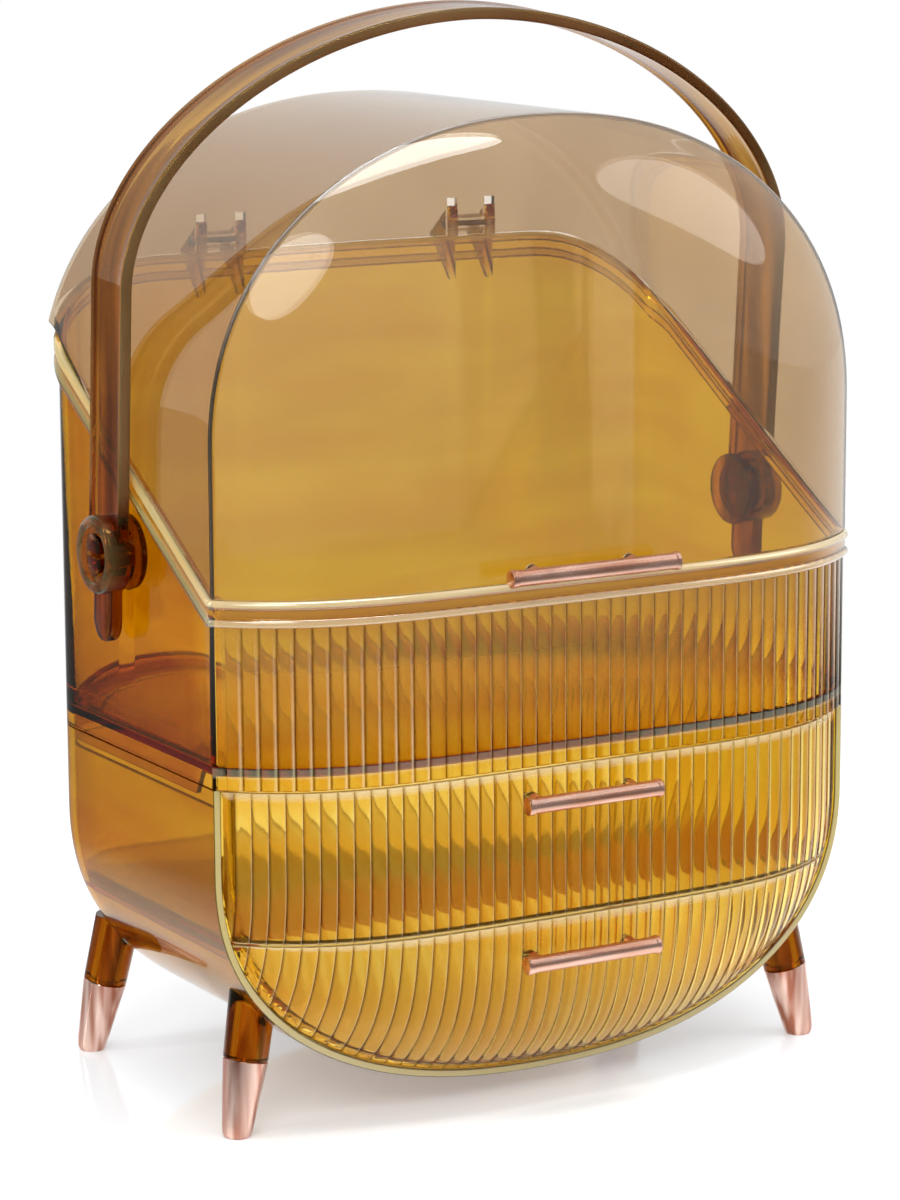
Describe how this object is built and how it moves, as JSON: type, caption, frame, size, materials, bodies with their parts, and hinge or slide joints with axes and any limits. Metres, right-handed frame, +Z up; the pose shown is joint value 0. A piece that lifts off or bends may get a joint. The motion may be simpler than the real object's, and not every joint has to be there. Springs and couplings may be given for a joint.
{
  "type": "cosmetics organizer",
  "caption": "Translucent amber cosmetics organizer on splayed legs: flip-up clear lid over a reeded tray, bow-front drawers below, tall swinging hoop handle.",
  "frame": {"origin": "middle of the whole object's footprint box, on the table plane", "axes": "+Z up, front faces -Y, +X to the right"},
  "size_m": [0.316, 0.214, 0.4299],
  "materials": {
    "amber": "clear amber moulded plastic, polished",
    "pale_amber": "clear pale amber moulded plastic, reeded, polished",
    "brown_amber": "clear brown amber moulded plastic, polished",
    "clear_lid": "clear, faintly smoked moulded plastic, polished",
    "rose_gold": "rose gold plated metal, satin",
    "steel": "plain zinc plated steel"
  },
  "bodies": {
    "base": {"cabinet_shell": "amber", "mid_shelf": "amber", "upper_tray": "amber", "leg_stem_front_left": "brown_amber", "leg_tip_front_left": "rose_gold", "leg_stem_front_right": "brown_amber", "leg_tip_front_right": "rose_gold", "leg_stem_back_left": "brown_amber", "leg_tip_back_left": "rose_gold", "leg_stem_back_right": "brown_amber", "leg_tip_back_right": "rose_gold", "handle_stud_left": "brown_amber", "handle_stud_right": "brown_amber", "hinge_pin_left": "steel", "hinge_pin_right": "steel"},
    "lid": {"lid_hood": "clear_lid", "lid_front": "clear_lid", "lid_pull": "rose_gold", "lid_screw_left": "steel", "lid_screw_right": "steel"},
    "handle": {"handle_bow": "brown_amber"},
    "upper_drawer": {"upper_drawer_front": "pale_amber", "upper_drawer_bin": "amber", "upper_drawer_pull": "rose_gold", "upper_drawer_screw_left": "steel", "upper_drawer_screw_right": "steel"},
    "lower_drawer": {"lower_drawer_front": "pale_amber", "lower_drawer_bin": "amber", "lower_drawer_pull": "rose_gold", "lower_drawer_screw_left": "steel", "lower_drawer_screw_right": "steel"}
  },
  "joints": [
    {"name": "lid_hinge", "type": "hinge", "parent": "base", "child": "lid", "pos_m": [0, 0.095, 0.3302], "axis": [-1, 0, 0], "range_deg": [0, 95]},
    {"name": "handle_swing", "type": "hinge", "parent": "base", "child": "handle", "pos_m": [0, 0.012, 0.22096], "axis": [-1, 0, 0], "range_deg": [0, 95]},
    {"name": "upper_drawer_slide", "type": "slide", "parent": "base", "child": "upper_drawer", "axis": [0, -1, 0], "range_m": [0, 0.1]},
    {"name": "lower_drawer_slide", "type": "slide", "parent": "base", "child": "lower_drawer", "axis": [0, -1, 0], "range_m": [0, 0.1]}
  ],
  "couplings": [
    {"joint": "handle_swing", "follows": "lid_hinge", "ratio": 1}
  ]
}
